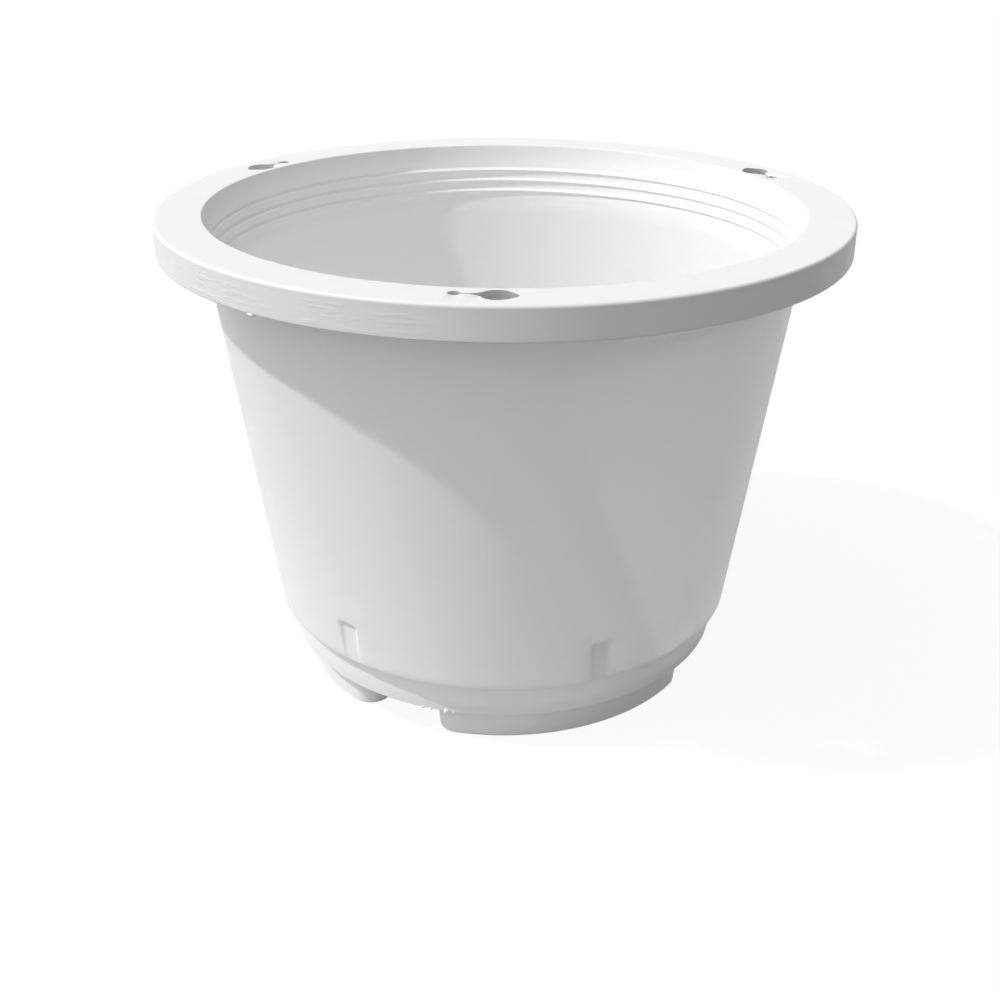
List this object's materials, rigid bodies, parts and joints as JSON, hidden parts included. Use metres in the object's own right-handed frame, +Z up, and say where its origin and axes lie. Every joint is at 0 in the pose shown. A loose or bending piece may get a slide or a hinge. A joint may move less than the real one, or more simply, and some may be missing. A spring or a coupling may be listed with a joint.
{
  "type": "plant pot",
  "caption": "Round tapered plant pot with a wide flat hanging rim, ribs inside its mouth, a set-in base band and arc-shaped feet; it holds soil, and stands or hangs.",
  "frame": {"origin": "on the pot's axis, level with the bottom of the feet", "axes": "+Z up along the pot's axis to the mouth; the front keyhole is on -Y; +X to the right seen from the front"},
  "size_m": [0.21, 0.21, 0.1515],
  "materials": {
    "white_plastic": "satin moulded plastic"
  },
  "bodies": {
    "root": {"rim_flange": "white_plastic", "rim_skirt": "white_plastic", "ribbed_collar": "white_plastic", "tapered_wall": "white_plastic", "recess_ring": "white_plastic", "base_band": "white_plastic", "floor_plate": "white_plastic", "front_foot": "white_plastic", "back_foot": "white_plastic", "left_foot": "white_plastic", "right_foot": "white_plastic"}
  },
  "joints": []
}
